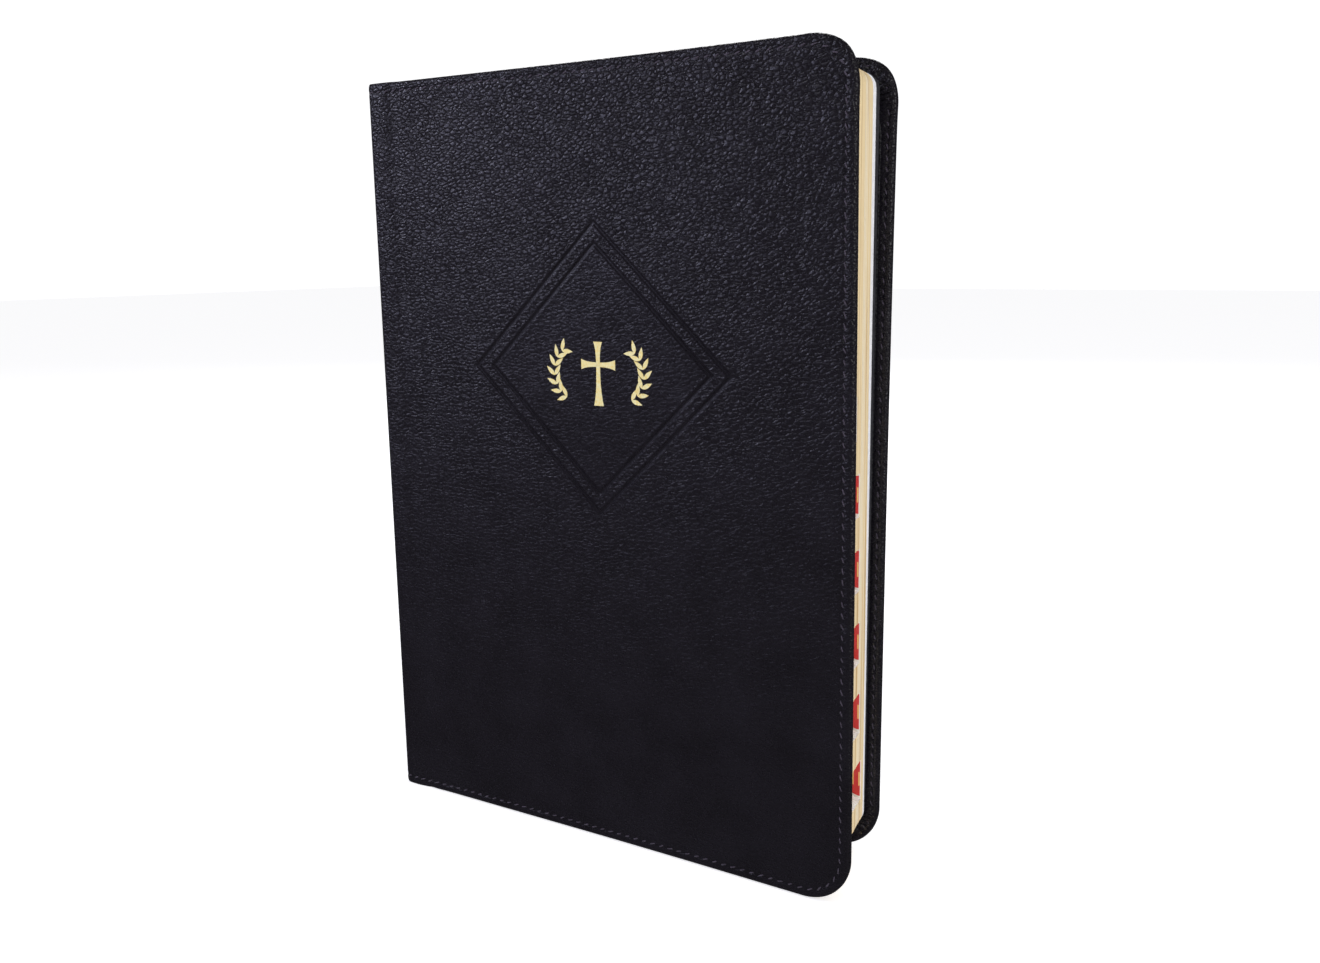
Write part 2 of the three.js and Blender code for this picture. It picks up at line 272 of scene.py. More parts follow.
def grid_faces(rows, columns, start=0, closed=False):
    """Quads of a grid whose vertices run row by row; closed joins the last column to the first."""
    across = columns if closed else columns - 1
    i, j = np.meshgrid(np.arange(rows - 1), np.arange(across), indexing="ij")
    k = (j + 1) % columns
    quads = np.stack([i * columns + j, i * columns + k, (i + 1) * columns + k, (i + 1) * columns + j], -1)
    return quads.reshape(-1, 4) + start


def build_mesh(name, points, faces, merge=2e-6, crisp_caps=False):
    """A smooth object from vertex and face arrays: its doubles are merged, its open ends closed by
    caps, with sharp edges if the surface shades on past them, and its faces turned outwards."""
    mesh = bpy.data.meshes.new(name)
    mesh.from_pydata(points.tolist(), [], faces.tolist())
    mesh.polygons.foreach_set("use_smooth", np.ones(len(mesh.polygons), bool))
    work = bmesh.new()
    work.from_mesh(mesh)
    bmesh.ops.remove_doubles(work, verts=work.verts, dist=merge)
    bmesh.ops.dissolve_degenerate(work, edges=work.edges, dist=merge)
    rims = [edge for edge in work.edges if edge.is_boundary]
    bmesh.ops.holes_fill(work, edges=rims, sides=0)
    for edge in rims:
        edge.smooth = not crisp_caps
    bmesh.ops.recalc_face_normals(work, faces=work.faces)
    work.to_mesh(mesh)
    work.free()
    made = bpy.data.objects.new(name, mesh)
    bpy.context.collection.objects.link(made)
    return made


def lay_uv(made, layer, across, up):
    """A UV layer in metres: the two flat coordinates of each vertex, given to its corners."""
    corner = np.empty(len(made.data.loops), np.int32)
    made.data.loops.foreach_get("vertex_index", corner)
    flat = np.stack([across, up], -1)[corner].astype(np.float32)
    made.data.uv_layers.new(name=layer).data.foreach_set("uv", flat.ravel())


def vertex_places(made):
    """The x, y and z of an object's vertices, as three arrays."""
    place = np.empty(len(made.data.vertices) * 3, np.float32)
    made.data.vertices.foreach_get("co", place)
    return place.reshape(-1, 3).T


DIAMOND_U = 93.9 * MM - 9 * MM
DIAMOND_Z = 163.4 * MM
DIAMOND_HALF_WIDTH = 49.2 * MM
DIAMOND_HALF_HEIGHT = 47.2 * MM
DIAMOND_SIDE = math.hypot(DIAMOND_HALF_WIDTH, DIAMOND_HALF_HEIGHT)
DIAMOND_PITCH = DIAMOND_HALF_WIDTH * DIAMOND_HALF_HEIGHT / DIAMOND_SIDE
DIAMOND_STEPS = 98
RULE_LINES = (1.0, 0.86)
RULE_REACH = 0.8 * MM
RULE_DEPTH = 0.32 * MM


def rules(u, z):
    """Depth of the two stamped rules: a diamond is a level line of |u| over half its width plus
    |z| over half its height, and each rule is a V with rounded lips on both sides of one."""
    level = np.abs(u - DIAMOND_U) / DIAMOND_HALF_WIDTH + np.abs(z - DIAMOND_Z) / DIAMOND_HALF_HEIGHT
    depth = 0
    for line in RULE_LINES:
        away = np.abs(level - line) * DIAMOND_PITCH
        depth = depth + RULE_DEPTH * smooth(1 - away / RULE_REACH)
        depth = depth - 0.10 * MM * np.exp(-((away - 1.15 * MM) / (0.45 * MM)) ** 2)
    return depth


def spread(*stops):
    """Values from stop to stop, each stop given as (value, steps up to the next one)."""
    parts = [np.linspace(a, b, n, endpoint=False) for (a, n), (b, _) in zip(stops, stops[1:])]
    return np.concatenate([*parts, [stops[-1][0]]])


# The edge's section as (inset, depth) in mm: over the seam's dip, round the edge, and in
# under the lining, where rings close it to a solid.
SEAM_INSET = 3.1 * MM
EDGE_OUTSIDE = [(6, 0), (5, 0), (4.2, -0.03), (3.6, 0.06), (3.1, 0.22), (2.6, 0.04), (2, -0.08)]
EDGE_ROUND = [(1.3, -0.02), (0.8, 0.12), (0.35, 0.42), (0.08, 0.9), (0, 1.6), (0.08, 2.3), (0.35, 2.8),
              (0.8, 3.1), (1.4, 3.2)]
EDGE_INSIDE = [(1.9, 3.16), (2.4, 2.98), (2.9, 3.14), (3.4, 3.2), (4.4, 3.18), (5.6, 3.14), (7, 3.1),
               (8.4, 3.0), (8.8, 2.4), (20, 2.3), (50, 2.3), (90, 2.3), (130, 2.3)]
PLEATS = 17


def pleat_height(u, z, inset):
    """Folds of the turned-in leather at the corners: a sharp-crested wave of the angle round the
    corner's centre, that swells from the edge and dies out on the straights."""
    du = u - (COVER_LENGTH - CORNER)
    dz = np.where(z > HEIGHT / 2, z - (HEIGHT - CORNER), CORNER - z)
    angle = np.arctan2(np.maximum(du, -9 * MM), np.maximum(dz, -9 * MM))
    wave = np.abs(np.sin(angle * PLEATS + 1.7 * np.sin(angle * 5))) ** 0.7
    near = smooth((du + 6 * MM) / (7 * MM)) * smooth((dz + 6 * MM) / (7 * MM))
    band = smooth((inset - 0.3 * MM) / (1.8 * MM)) * smooth((8.8 * MM - inset) / (2 * MM))
    return 0.95 * MM * (wave - 0.6) * near * band


def skin(name, side, stamped):
    """One half of the case: a grid over the outer face, and rings from it round the edge and in."""
    if stamped:
        left, right_end = DIAMOND_U - DIAMOND_HALF_WIDTH, DIAMOND_U + DIAMOND_HALF_WIDTH
        low, high = DIAMOND_Z - DIAMOND_HALF_HEIGHT, DIAMOND_Z + DIAMOND_HALF_HEIGHT
        across = [(left, 2 * DIAMOND_STEPS), (right_end, 10)]
        upward = [(low, 2 * DIAMOND_STEPS), (high, 16)]
    else:
        across = [(60 * MM, 20)]
        upward = [(HEIGHT / 2, 30)]
    inset = EDGE_OUTSIDE[0][0] * MM
    columns = spread((MIDDLE_U, 6), (-FLANGE - SHOULDER * math.pi / 2, 8), (-FLANGE, 6), (-4 * MM, 20),
                     (8 * MM, 10), *across, (COVER_LENGTH - CORNER, 0))
    rows = spread((inset, 24), *upward, (HEIGHT - inset, 0))
    squeeze = (HEIGHT / 2 - CORNER) / (HEIGHT / 2 - inset)
    fore_rows = HEIGHT / 2 + (rows - HEIGHT / 2) * squeeze
    angle = np.linspace(0, math.pi / 2, ARC_STEPS)[1:]
    arc = CORNER - inset
    all_u = np.concatenate([columns, COVER_LENGTH - CORNER + arc * np.sin(angle)])
    half = np.concatenate([np.full(len(columns), HEIGHT / 2 - inset),
                           HEIGHT / 2 - CORNER + arc * np.cos(angle)])
    grid_u = np.repeat(all_u[None], len(rows), 0)
    grid_z = HEIGHT / 2 + np.outer((rows - HEIGHT / 2) / (HEIGHT / 2 - inset), half)
    dip = 0.45 * MM * np.exp(-((grid_u - 2.5 * MM) / (2.6 * MM)) ** 2)
    if stamped:
        dip = dip + rules(grid_u, grid_z)
    face = np.stack(case_point(side, grid_u, dip, grid_z), -1).reshape(-1, 3)
    faces = [grid_faces(len(rows), len(all_u))]
    points = [face]
    loops = []
    for inset_mm, depth_mm in EDGE_OUTSIDE + EDGE_ROUND + EDGE_INSIDE:
        u, z = ring(inset_mm * MM, columns, fore_rows)
        depth = depth_mm * MM * thickness(u) / COVER_THICKNESS
        depth = depth + 0.45 * MM * np.exp(-((u - 2.5 * MM) / (2.6 * MM)) ** 2) * (depth_mm < 1)
        if depth_mm > 2.5:
            depth = depth + pleat_height(u, z, inset_mm * MM)
        loops.append(np.stack(case_point(side, u, depth, z), -1))
    points.append(np.concatenate(loops))
    faces.append(grid_faces(len(loops), len(loops[0]), start=len(face)))
    # The skin is cut at the middle of the spine, and the cut is closed face to face.
    return build_mesh(name, np.concatenate(points), np.concatenate(faces), crisp_caps=True)


def leather_grain(material, shader, stamped):
    """Roller grain: pebbles about 1.5 mm across with narrow valleys, their outlines pushed about
    by noise and wider than tall; fine creases 1 mm apart over them; and a skin that undulates
    every 17 mm. All of it is deeper towards the head and handled flatter towards the tail. A
    stamped cover has flat-bottomed rules 1.4 mm wide, with the grain ironed out beside them."""
    place = add_node(material, "ShaderNodeTexCoord", {}).outputs["Object"]
    wide = add_node(material, "ShaderNodeMapping", {"Scale": (0.75, 1, 1.25), "Vector": place})
    height = add_node(material, "ShaderNodeSeparateXYZ", {"Vector": place}).outputs["Z"]
    kept = add_node(material, "ShaderNodeMapRange", {
        "From Min": 0.04, "From Max": 0.24, "To Min": 0.4, "To Max": 0.85, "Value": height})
    wave = add_node(material, "ShaderNodeTexNoise", {"Scale": 60, "Detail": 2, "Vector": place})
    under = add_node(material, "ShaderNodeBump", {"Distance": 0.0008, "Height": wave, "Strength": kept})
    if stamped:
        flat = add_node(material, "ShaderNodeUVMap", {}, uv_map="skin")
        for kind, step in (("SUBTRACT", (DIAMOND_U, DIAMOND_Z, 0)), ("ABSOLUTE", (0, 0, 0)),
                           ("DIVIDE", (DIAMOND_HALF_WIDTH, DIAMOND_HALF_HEIGHT, 1))):
            flat = add_node(material, "ShaderNodeVectorMath", {0: flat, 1: step}, operation=kind)
        parts = add_node(material, "ShaderNodeSeparateXYZ", {"Vector": flat})
        level = add_node(material, "ShaderNodeMath", {0: parts.outputs["X"], 1: parts.outputs["Y"]})
        away = 1.0
        for line in RULE_LINES:
            off = add_node(material, "ShaderNodeMath", {0: level, 1: line}, operation="SUBTRACT")
            off = add_node(material, "ShaderNodeMath", {0: off}, operation="ABSOLUTE")
            off = add_node(material, "ShaderNodeMath", {0: off, 1: DIAMOND_PITCH}, operation="MULTIPLY")
            away = add_node(material, "ShaderNodeMath", {0: away, 1: off}, operation="MINIMUM")
        wall = add_node(material, "ShaderNodeMapRange", {
            "From Min": 0.35 * MM, "From Max": 0.75 * MM, "Value": away}, interpolation_type="SMOOTHSTEP")
        under = add_node(material, "ShaderNodeBump", {"Distance": 0.00028, "Height": wall, "Normal": under})
        ironed = add_node(material, "ShaderNodeMapRange", {
            "From Min": 0.5 * MM, "From Max": 1.6 * MM, "To Min": 0.15, "Value": away})
        inner = add_node(material, "ShaderNodeMapRange", {
            "From Min": 0.8, "From Max": 0.9, "To Min": 0.6, "Value": level})
        for flattened in (ironed, inner):
            kept = add_node(material, "ShaderNodeMath", {0: kept, 1: flattened}, operation="MULTIPLY")
    sway = add_node(material, "ShaderNodeTexNoise", {"Scale": 500, "Detail": 2, "Vector": place})
    push = add_node(material, "ShaderNodeVectorMath", {
        0: sway.outputs["Color"], 1: (0.0016, 0.0016, 0.0016)}, operation="MULTIPLY")
    moved = add_node(material, "ShaderNodeVectorMath", {0: wide, 1: push})
    pebble = add_node(material, "ShaderNodeTexVoronoi", {
        "Scale": 640, "Randomness": 1, "Vector": moved}, feature="DISTANCE_TO_EDGE")
    dome = add_node(material, "ShaderNodeValToRGB", {"Fac": pebble},
                    [(0.0, 0.0), (0.1, 0.5), (0.3, 0.88), (0.5, 1.0)])
    crease = add_node(material, "ShaderNodeTexNoise", {"Scale": 1000, "Detail": 2, "Vector": wide})
    fine = add_node(material, "ShaderNodeBump", {
        "Distance": 0.00008, "Height": crease, "Normal": under, "Strength": kept})
    set_inputs(material, shader, {
        "Base Color": add_node(material, "ShaderNodeValToRGB", {"Fac": wave},
                               [(0.3, "#161319"), (0.7, "#1b181f")]),
        "Roughness": add_node(material, "ShaderNodeValToRGB", {"Fac": crease}, [(0.3, 0.24), (0.7, 0.34)]),
        "Normal": add_node(material, "ShaderNodeBump", {
            "Distance": 0.00024, "Height": dome, "Normal": fine, "Strength": kept})})


for side, cover, stamped in ((1, "front_cover", True), (-1, "back_cover", False)):
    hinge = FRONT_HINGE if side > 0 else BACK_HINGE
    leather, leather_shader = new_material(f"bonded_leather_{cover}", "#15131a", 0.25,
                                           Specular_IOR_Level=0.5, IOR=1.5)
    leather_grain(leather, leather_shader, stamped)
    case_half = skin(f"{cover}_skin", side, stamped)
    case_half.data.materials.append(leather)
    if stamped:
        skin_x, _, skin_z = vertex_places(case_half)
        lay_uv(case_half, "skin", skin_x - hinge[0], skin_z)
    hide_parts(f"{cover}_leather", "spine_leather")
    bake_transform(case_half)

# ---- Boards and linings ------------------------------------------------------------------
# Flexible grey card 1.1 mm thick inside each cover, and over it a sheet of black lining paper
# embossed like fine leather, pasted down over the turned-in edge to a few mm from the seam.

WIDE_CORNER = 25 * MM
lining_paper, lining_shader = new_material("embossed_lining_paper", "#131217", 0.46, Specular_IOR_Level=0.5)
lining_place = add_node(lining_paper, "ShaderNodeTexCoord", {}).outputs["Object"]
lining_cells = add_node(lining_paper, "ShaderNodeTexVoronoi", {"Scale": 1000, "Vector": lining_place})
lining_bump = add_node(lining_paper, "ShaderNodeBump", {
    "Strength": 1.0, "Distance": 0.0003, "Height": lining_cells})
set_inputs(lining_paper, lining_shader, {"Normal": lining_bump})

card, card_shader = new_material("grey_board", "#7a746b", 0.9)
card_place = add_node(card, "ShaderNodeTexCoord", {}).outputs["Object"]
card_fibre = add_node(card, "ShaderNodeTexNoise", {"Scale": 900, "Detail": 4, "Vector": card_place})
set_inputs(card, card_shader, {"Base Color": add_node(
    card, "ShaderNodeValToRGB", {"Fac": card_fibre}, [(0.35, "#6d675f"), (0.65, "#8a847a")])})


def bent_panel(name, side, inset, corner, section):
    """A closed panel that follows the cover: rings of the cover's outline, with (inset, depth) in
    mm going in over one face to the middle and back out over the other."""
    columns = spread((5 * MM, 30), (COVER_LENGTH - corner, 0))
    rows = spread((inset * MM, 30), (HEIGHT - inset * MM, 0))
    loops = []
    for inset_mm, depth_mm in section:
        u, z = ring(inset_mm * MM, columns, rows, corner)
        loops.append(np.stack(case_point(side, u, depth_mm * MM, z), -1))
    return build_mesh(name, np.concatenate(loops), grid_faces(len(loops), len(loops[0])))


for side, cover in ((1, "front_cover"), (-1, "back_cover")):
    lining = bent_panel(f"{cover}_lining_sheet", side, 4.4, WIDE_CORNER,
                        [(130, 2.9), (60, 2.9), (20, 2.9), (4.4, 2.9), (4.3, 3.2), (4.5, 3.36), (5, 3.4),
                         (12, 3.4), (30, 3.4), (60, 3.4), (90, 3.4), (130, 3.4)])
    lining.data.materials.append(lining_paper)
    board = bent_panel(f"{cover}_board_sheet", side, 3.8, CORNER,
                       [(130, 1.2), (60, 1.2), (20, 1.2), (3.8, 1.2), (3.8, 2.2), (20, 2.2), (60, 2.2),
                        (130, 2.2)])
    board.data.materials.append(card)
    for piece, node_name, slot_name in ((lining, "lining", "black_lining"), (board, "board", "card")):
        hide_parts(f"{cover}_{node_name}")
        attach(piece, cover)

# ---- Stitching ---------------------------------------------------------------------------
# A lockstitch of dark violet-grey polyester thread, 0.4 mm thick, every 3.4 mm, 3.1 mm in from
# the edge, on both faces of the covers and over the ends of the spine; each stitch slants a little.

STITCH_PITCH = 3.4 * MM
STITCH_LENGTH = 2.2 * MM
STITCH_RADIUS = 0.21 * MM
thread, thread_shader = new_material("polyester_thread", "#4a4150", 0.5, Sheen_Weight=0.15)
thread_place = add_node(thread, "ShaderNodeTexCoord", {}).outputs["Object"]
thread_twist = add_node(thread, "ShaderNodeTexNoise", {"Scale": 3000, "Detail": 2, "Vector": thread_place})
set_inputs(thread, thread_shader, {
    "Base Color": add_node(thread, "ShaderNodeValToRGB", {"Fac": thread_twist},
                           [(0.3, "#302a35"), (0.7, "#564c5f")]),
    "Normal": add_node(thread, "ShaderNodeBump", {
        "Strength": 0.5, "Distance": 0.00005, "Height": thread_twist})})
draws = np.random.default_rng(7)


def seam_run(side, inset, depth):
    """Stitch centres along the seam: the inset ring sampled every pitch of its length."""
    columns = spread((MIDDLE_U + 0.6 * STITCH_PITCH, 200), (COVER_LENGTH - CORNER, 0))
    rows = np.linspace(CORNER, HEIGHT - CORNER, 200)
    u, z = ring(inset, columns, rows)
    run = np.concatenate([[0], np.cumsum(np.hypot(np.diff(u), np.diff(z)))])
    count = int(run[-1] / STITCH_PITCH)
    places = (np.arange(count) + 0.5) * run[-1] / count
    u, z = np.interp(places, run, u), np.interp(places, run, z)
    step_u, step_z = np.gradient(u), np.gradient(z)
    size = np.hypot(step_u, step_z)
    return u, z, step_u / size, step_z / size, depth * thickness(u) / COVER_THICKNESS


def stitches(name, side, runs):
    """Capsules laid along the surface: a stitch bows up out of the leather by the sine of its
    length, its round section shrinks to the holes at both ends, and it slants off the seam."""
    along = np.linspace(-1, 1, 7)
    round_angle = np.linspace(0, 2 * math.pi, 7)[:-1]
    size = np.sqrt(np.clip(1 - along ** 4, 0.02, 1))
    points, faces, start = [], [], 0
    for u, z, du, dz, depth, outward in runs:
        slant = 0.36 + 0.08 * draws.standard_normal(len(u))
        tu = du * np.cos(slant) - dz * np.sin(slant)
        tz = dz * np.cos(slant) + du * np.sin(slant)
        reach = STITCH_LENGTH / 2 * (1 + 0.08 * draws.standard_normal(len(u)))
        a = along[None, :, None]
        r = (STITCH_RADIUS * size)[None, :, None]
        side_way = r * np.cos(round_angle)
        up_way = (r * np.sin(round_angle) * 0.8 + 0.10 * MM * (1 - a ** 2) - 0.12 * MM * a ** 4) * outward
        pu = u[:, None, None] + tu[:, None, None] * a * reach[:, None, None] - tz[:, None, None] * side_way
        pz = z[:, None, None] + tz[:, None, None] * a * reach[:, None, None] + tu[:, None, None] * side_way
        pd = depth[:, None, None] - up_way
        block = np.stack(case_point(side, pu, pd, pz), -1).reshape(-1, 3)
        one = grid_faces(7, 6, closed=True)
        count = len(u)
        faces.append((one[None] + (np.arange(count) * 42)[:, None, None]).reshape(-1, 4) + start)
        points.append(block)
        start += len(block)
    return build_mesh(name, np.concatenate(points), np.concatenate(faces), merge=1e-7)


for side, cover in ((1, "front_cover"), (-1, "back_cover")):
    hinge = FRONT_HINGE if side > 0 else BACK_HINGE
    outside = (*seam_run(side, SEAM_INSET, 0.14 * MM), 1)
    inside = (*seam_run(side, 2.4 * MM, 3.02 * MM), -1)
    seam = stitches(f"{cover}_seam", side, [outside, inside])
    seam.data.materials.append(thread)
    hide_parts(f"{cover}_stitching", "spine_stitching_head", "spine_stitching_tail")
    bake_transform(seam)

# ---- Gold ornament -----------------------------------------------------------------------
# Gold foil stamped flush in the middle of the diamond: a cross with flared arms between two
# sprigs of leaves, 41 x 21 mm in all. The foil is a few hundredths of a mm thick.

gold, gold_shader = new_material("stamped_gold_foil", "#ffec9c", 0.42, Metallic=0.15)
gold_place = add_node(gold, "ShaderNodeTexCoord", {}).outputs["Object"]
gold_grain = add_node(gold, "ShaderNodeTexNoise", {"Scale": 1500, "Detail": 3, "Vector": gold_place})
set_inputs(gold, gold_shader, {
    "Base Color": add_node(gold, "ShaderNodeValToRGB", {"Fac": gold_grain},
                           [(0.3, "#ffe488"), (0.65, "#fff6c2")]),
    "Normal": add_node(gold, "ShaderNodeBump", {
        "Strength": 0.35, "Distance": 0.00006, "Height": gold_grain})})
ORNAMENT_U, ORNAMENT_Z = DIAMOND_U + 0.6 * MM, DIAMOND_Z - 1 * MM
FOIL = 0.09 * MM


def flared_arm(length, narrow, wide, turn):
    """An arm of the cross from its middle: its half width grows with the cube of the distance."""
    t = np.linspace(0, 1, 8)
    half = narrow + (wide - narrow) * t ** 3
    a = np.concatenate([t * length, (t * length)[::-1]])
    b = np.concatenate([half, -half[::-1]])
    return a * math.cos(turn) - b * math.sin(turn), a * math.sin(turn) + b * math.cos(turn)


def leaf_shape(u, z, turn, length, width):
    """A pointed leaf: its half width is a sine of the distance along it."""
    t = np.linspace(0, 1, 9)
    half = width / 2 * np.sin(math.pi * t ** 0.8)
    a = np.concatenate([t * length, (t * length)[::-1][1:-1]])
    b = np.concatenate([half, -half[::-1][1:-1]])
    return u + a * math.cos(turn) - b * math.sin(turn), z + a * math.sin(turn) + b * math.cos(turn)


ARM_WAIST = 0.75 * MM
arms = ((7.4, 1.7, math.pi / 2), (13.4, 1.9, -math.pi / 2), (6.6, 1.7, 0), (6.6, 1.7, math.pi))
outlines = [flared_arm(length * MM, ARM_WAIST, wide * MM, turn) for length, wide, turn in arms]
outlines = [(u, z + 3 * MM) for u, z in outlines]
for mirror in (1, -1):
    sweep = np.linspace(-1.25, 1.0, 7)
    stem_u, stem_z = 17.4 * MM - 7 * MM * (1 - np.cos(sweep)), 8.4 * MM * np.sin(sweep)
    for number, (a, b, s) in enumerate(zip(stem_u, stem_z, sweep)):
        way = math.atan2(8.4 * math.cos(s), -7 * math.sin(s))
        for lean in (-0.7, 0.7):
            u, z = leaf_shape(a, b, way - lean, 4.3 * MM, 1.5 * MM)
            outlines.append((mirror * u, z))
foil_points, foil_faces = [], []
for u, z in outlines:
    first = sum(len(p) for p in foil_points)
    x, y, z3 = case_point(1, ORNAMENT_U + u, -FOIL / 3, ORNAMENT_Z + z)
    foil_points.append(np.stack([x, y, z3], -1))
    foil_faces.append(list(range(first, first + len(u))))
foil_mesh = bpy.data.meshes.new("gold_ornament")
foil_mesh.from_pydata(np.concatenate(foil_points).tolist(), [], foil_faces)
ornament = bpy.data.objects.new("gold_ornament", foil_mesh)
bpy.context.collection.objects.link(ornament)
work = bmesh.new()
work.from_mesh(foil_mesh)
for face in work.faces:
    if face.normal.y > 0:
        face.normal_flip()
bmesh.ops.triangulate(work, faces=work.faces)
work.to_mesh(foil_mesh)
work.free()
body_of_foil = ornament.modifiers.new("foil", "SOLIDIFY")
body_of_foil.thickness, body_of_foil.offset = FOIL, -1
ornament.data.materials.append(gold)
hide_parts("gold_cross")
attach(ornament, "front_cover")

# ---- Pages -------------------------------------------------------------------------------
# Ten sections of thin white bible paper, 243 mm tall, trimmed and tinted cream on three edges
# and cut with half-moon thumb notches, white inside; every sheet runs back to the glued folds.

PAGE_CORNER = 5 * MM
NOTCH_DEPTH, NOTCH_HALF = 6.2 * MM, 6.9 * MM
fold_low, fold_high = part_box("page_folds")
FOLD_X = fold_low.x + 0.4 * MM


def label_heights():
    """The middle of each label, from the head down: the labels' own boxes give it."""
    boxes = [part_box(f"index_label_{number:02d}") for number in range(1, 10)]
    return [(low.z + high.z) / 2 for low, high in boxes]


def edge_rows(low, high, notches):
    """Row heights of a page: close at the rounded corners and round each notch, by cosines."""
    turn = np.linspace(0, math.pi / 2, 7)
    parts = [low + PAGE_CORNER * (1 - np.cos(turn)), high - PAGE_CORNER * (1 - np.cos(turn))]
    parts += [z + NOTCH_HALF * np.sin(np.linspace(-math.pi / 2, math.pi / 2, 13)) for z in notches]
    parts.append(np.linspace(low + PAGE_CORNER, high - PAGE_CORNER, 24))
    return np.unique(np.round(np.concatenate(parts), 6))


def edge_inset(z, low, high, notches):
    """How far the fore edge lies back at a height: a quarter circle at each corner and half an
    ellipse at each notch. The second array says which rows lie in a notch."""
    near = np.clip(PAGE_CORNER - np.minimum(z - low, high - z), 0, PAGE_CORNER)
    inset = PAGE_CORNER - np.sqrt(PAGE_CORNER ** 2 - near ** 2)
    cut = np.zeros(len(z), bool)
    for middle in notches:
        across = (z - middle) / NOTCH_HALF
        inset = np.maximum(inset, NOTCH_DEPTH * np.sqrt(np.clip(1 - across ** 2, 0, 1)))
        cut |= np.abs(across) < 1
    return inset, cut


def slab(name, joint, left, right_edge, rows, front, rear, curl=0.0, uv_middle=(0, 0)):
    """A sheet or stack of sheets. left and right_edge are arrays over the rows, measured from the
    hinge line; front and rear are the depths of the faces, and curl is how far each row's fore
    edge bends out, as a cover's does. UV is the flat place on the page, in metres."""
    share = np.concatenate([np.linspace(0, 0.2, 13)[:-1], np.linspace(0.2, 1, 12)])
    x = left[:, None] + (right_edge - left)[:, None] * share
    bend = np.reshape(curl, (-1, 1)) * fore_curl(x + joint["pos_m"][0] - FRONT_HINGE[0])
    loop_x = np.concatenate([x, x[:, ::-1]], 1)
    loop_y = np.concatenate([front + bend, (rear + bend)[:, ::-1]], 1)
    turn = rest_angle(joint) * (-1 if joint["axis"][2] < 0 else 1)
    local = turn * smooth(loop_x / (6 * MM) + 0.5)
    px = joint["pos_m"][0] + loop_x * np.cos(local) - loop_y * np.sin(local)
    py = joint["pos_m"][1] + loop_x * np.sin(local) + loop_y * np.cos(local)
    pz = np.repeat(rows[:, None], loop_x.shape[1], 1)
    count, width = loop_x.shape
    half = width // 2
    faces = grid_faces(count, width, closed=True)
    near, far = np.arange(half - 1), width - 1 - np.arange(half - 1)
    tail = np.stack([near, near + 1, far - 1, far], -1)
    head = tail[:, ::-1] + (count - 1) * width
    kinds = np.zeros((count - 1, width), int)
    kinds[:, half - 1] = 1
    kinds[:, width - 1] = 1
    mesh = bpy.data.meshes.new(name)
    points = np.stack([px, py, pz], -1).reshape(-1, 3)
    mesh.from_pydata(points.tolist(), [], np.concatenate([faces, tail, head]).tolist())
    kind = np.concatenate([kinds.ravel(), np.ones(len(tail) + len(head), int)])
    made = bpy.data.objects.new(name, mesh)
    bpy.context.collection.objects.link(made)
    lay_uv(made, "page", loop_x.ravel() - uv_middle[0], pz.ravel() - uv_middle[1])
    return made, kind, half, width


def finish_slab(made, kind, materials, cut=None, half=0, width=1):
    """Gives each face its material and turns the mesh outwards."""
    if cut is not None:
        rows = np.flatnonzero(cut)
        kind[rows * width + half - 1] = 2
    for material in materials:
        made.data.materials.append(material)
    made.data.polygons.foreach_set("material_index", np.minimum(kind, len(materials) - 1).astype(np.int32))
    work = bmesh.new()
    work.from_mesh(made.data)
    bmesh.ops.recalc_face_normals(work, faces=work.faces)
    work.to_mesh(made.data)
    work.free()
    made.data.polygons.foreach_set("use_smooth", kind == 0)


PRINT_PITCH = 3.4 * MM
PRINT_COLUMNS = ((14 * MM, 78 * MM), (83 * MM, 147 * MM))
PRINT_TAIL, PRINT_HEAD = 20 * MM, 238 * MM
page_face, page_shader = new_material("bible_paper", "#f5f0e4", 0.85, Specular_IOR_Level=0.3)


def greek_lines(material, shader):
    """Print too small to read, drawn as two columns of grey rules 3.4 mm apart that break into
    words of uneven length. Every test gives one or zero, and the ink is their product."""
    flat = add_node(material, "ShaderNodeUVMap", {}, uv_map="page")
    parts = add_node(material, "ShaderNodeSeparateXYZ", {"Vector": flat})
    across, up_page = parts.outputs["X"], parts.outputs["Y"]

    def step(kind, a, b=0.0):
        return add_node(material, "ShaderNodeMath", {0: a, 1: b}, operation=kind)

    lines = step("DIVIDE", up_page, PRINT_PITCH)
    line = step("FRACT", lines)
    place = add_node(material, "ShaderNodeCombineXYZ", {
        "X": step("MULTIPLY", across, 240.0), "Y": step("MULTIPLY", step("FLOOR", lines), 7.31)})
    words = add_node(material, "ShaderNodeTexNoise", {"Scale": 1.0, "Detail": 1, "Vector": place})
    columns = 0.0
    for left, right_side in PRINT_COLUMNS:
        span = step("MULTIPLY", step("GREATER_THAN", across, left), step("LESS_THAN", across, right_side))
        columns = step("ADD", columns, span)
    ink = 0.5
    for test in (step("GREATER_THAN", line, 0.3), step("LESS_THAN", line, 0.66),
                 step("GREATER_THAN", words, 0.42), columns,
                 step("GREATER_THAN", up_page, PRINT_TAIL), step("LESS_THAN", up_page, PRINT_HEAD)):
        ink = step("MULTIPLY", ink, test)
    shade = add_node(material, "ShaderNodeMix", {
        "A": linear("#f5f0e4"), "B": linear("#55504a"), "Factor": ink}, data_type="RGBA")
    set_inputs(material, shader, {"Base Color": shade.outputs["Result"]})


greek_lines(page_face, page_shader)


